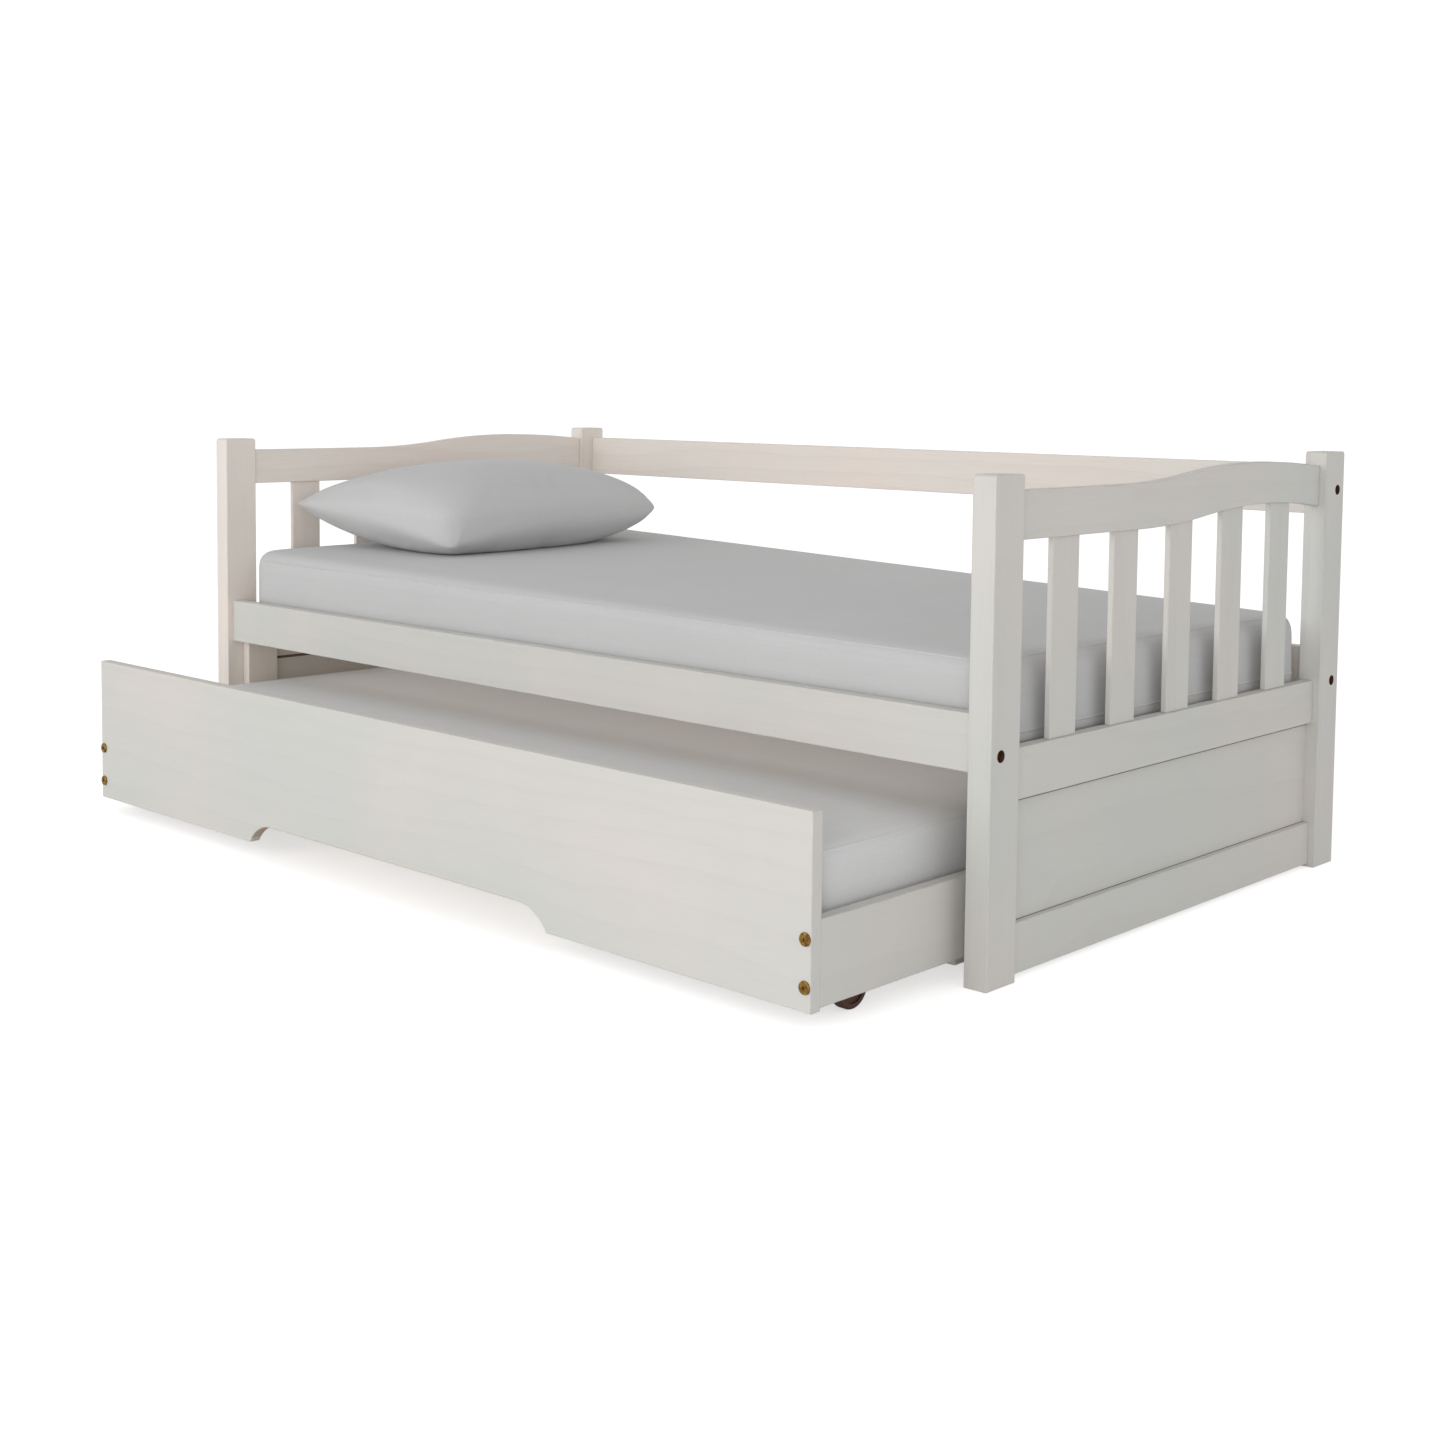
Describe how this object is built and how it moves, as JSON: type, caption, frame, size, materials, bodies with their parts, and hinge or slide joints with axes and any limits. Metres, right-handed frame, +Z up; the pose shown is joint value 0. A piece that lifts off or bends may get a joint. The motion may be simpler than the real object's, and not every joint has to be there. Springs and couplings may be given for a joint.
{
  "type": "trundle bed",
  "caption": "Painted pine day bed with wavy-topped slatted ends, a trundle on wheels that rolls out to the front, mattresses and a pillow.",
  "frame": {"origin": "on the floor, at the centre of the whole object's outline with the trundle part-way out", "axes": "+X along the bed from the pillow end to the foot end, +Y from the trundle's front to the back rail, +Z up"},
  "size_m": [1.98, 1.376, 0.744],
  "materials": {
    "painted_pine": "satin white paint over pine, faint grain",
    "bare_pine": "planed pine, unpainted",
    "beech_dowel": "fluted hardwood",
    "antique_brass": "antique brass plate",
    "zinc_steel": "zinc plate",
    "brown_wheel": "satin moulded",
    "mattress_cover": "light grey stretched sheet",
    "trundle_mattress_cover": "light grey stretched sheet",
    "pillow_cover": "light grey plain weave"
  },
  "bodies": {
    "bed_frame": {"post_front_left": "painted_pine", "post_front_right": "painted_pine", "post_back_left": "painted_pine", "post_back_right": "painted_pine", "top_rail_left": "painted_pine", "top_rail_right": "painted_pine", "middle_rail_left": "painted_pine", "middle_rail_right": "painted_pine", "bottom_rail_left": "painted_pine", "bottom_rail_right": "painted_pine", "end_panel_left": "painted_pine", "end_panel_right": "painted_pine", "end_slat_left_1": "painted_pine", "end_slat_left_2": "painted_pine", "end_slat_left_3": "painted_pine", "end_slat_left_4": "painted_pine", "end_slat_left_5": "painted_pine", "end_slat_right_1": "painted_pine", "end_slat_right_2": "painted_pine", "end_slat_right_3": "painted_pine", "end_slat_right_4": "painted_pine", "end_slat_right_5": "painted_pine", "dowels_left": "beech_dowel", "dowels_right": "beech_dowel", "front_rail": "painted_pine", "back_rail_lower": "painted_pine", "back_rail_upper": "painted_pine", "slat_ledge_front": "bare_pine", "slat_ledge_back": "bare_pine", "leg_block_left": "painted_pine", "leg_block_right": "painted_pine", "bed_slats": "bare_pine", "bed_slat_screws": "zinc_steel", "frame_bolts": "antique_brass", "frame_barrel_nuts": "antique_brass"},
    "mattress": {"mattress": "mattress_cover"},
    "pillow": {"pillow": "pillow_cover"},
    "trundle": {"trundle_front_board": "painted_pine", "trundle_back_board": "painted_pine", "trundle_side_left": "painted_pine", "trundle_side_right": "painted_pine", "trundle_ledge_front": "bare_pine", "trundle_ledge_back": "bare_pine", "trundle_cross_rail_1": "painted_pine", "trundle_cross_rail_2": "painted_pine", "trundle_slats": "bare_pine", "trundle_slat_screws": "zinc_steel", "trundle_bolts": "antique_brass", "trundle_barrel_nuts": "antique_brass", "trundle_dowels": "beech_dowel", "wheel_axles": "zinc_steel", "trundle_mattress": "trundle_mattress_cover"},
    "wheel_front_left": {"wheel_front_left": "brown_wheel"},
    "wheel_front_right": {"wheel_front_right": "brown_wheel"},
    "wheel_back_left": {"wheel_back_left": "brown_wheel"},
    "wheel_back_right": {"wheel_back_right": "brown_wheel"}
  },
  "joints": [
    {"name": "trundle_slide", "type": "slide", "parent": "bed_frame", "child": "trundle", "axis": [0, -1, 0], "range_m": [-0.315, 0.72]},
    {"name": "mattress_lift", "type": "slide", "parent": "bed_frame", "child": "mattress", "axis": [0, 0, 1], "range_m": [0, 0.4]},
    {"name": "pillow_lift", "type": "slide", "parent": "mattress", "child": "pillow", "axis": [0, 0, 1], "range_m": [0, 0.3]},
    {"name": "wheel_front_left_spin", "type": "hinge", "parent": "trundle", "child": "wheel_front_left", "pos_m": [-0.892, -0.567, 0.032], "axis": [1, 0, 0], "continuous": true},
    {"name": "wheel_front_right_spin", "type": "hinge", "parent": "trundle", "child": "wheel_front_right", "pos_m": [0.892, -0.567, 0.032], "axis": [1, 0, 0], "continuous": true},
    {"name": "wheel_back_left_spin", "type": "hinge", "parent": "trundle", "child": "wheel_back_left", "pos_m": [-0.892, 0.197, 0.032], "axis": [1, 0, 0], "continuous": true},
    {"name": "wheel_back_right_spin", "type": "hinge", "parent": "trundle", "child": "wheel_back_right", "pos_m": [0.892, 0.197, 0.032], "axis": [1, 0, 0], "continuous": true}
  ],
  "couplings": [
    {"joint": "wheel_front_left_spin", "follows": "trundle_slide", "rad_per_m": 31.25},
    {"joint": "wheel_front_right_spin", "follows": "trundle_slide", "rad_per_m": 31.25},
    {"joint": "wheel_back_left_spin", "follows": "trundle_slide", "rad_per_m": 31.25},
    {"joint": "wheel_back_right_spin", "follows": "trundle_slide", "rad_per_m": 31.25}
  ]
}
